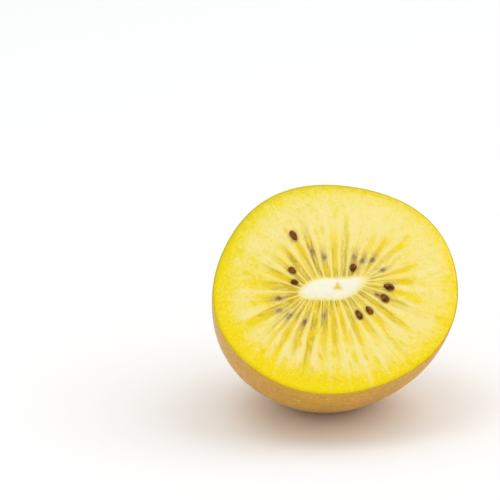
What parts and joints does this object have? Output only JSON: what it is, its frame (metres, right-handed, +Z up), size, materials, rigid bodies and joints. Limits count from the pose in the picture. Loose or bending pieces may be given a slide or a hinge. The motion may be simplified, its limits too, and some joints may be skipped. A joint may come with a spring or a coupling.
{
  "type": "golden kiwi fruit half",
  "caption": "Half of a golden kiwi fruit cut across its middle: brown skin, yellow rayed flesh, white core, dark seeds. Lies on its skin with the cut face leaning back.",
  "frame": {"origin": "centre of the bounding box's base, on the surface that the half lies on", "axes": "+Z up; the cut face looks towards -Y and leans back by 45 degrees, so its outward normal is halfway between -Y and +Z; +X runs level across the cut face; the stem end points to +Y and -Z"},
  "size_m": [0.0544, 0.0486, 0.0484],
  "materials": {
    "skin": "thin matt brown-gold fruit skin with fine pale speckles",
    "flesh": "moist translucent yellow flesh with pale rays",
    "core": "firm moist cream-white core",
    "seed": "glossy dark red-brown seed",
    "stem_scar": "dry fibrous woody scar"
  },
  "bodies": {
    "root": {"golden_kiwi_half": "skin"}
  },
  "joints": []
}
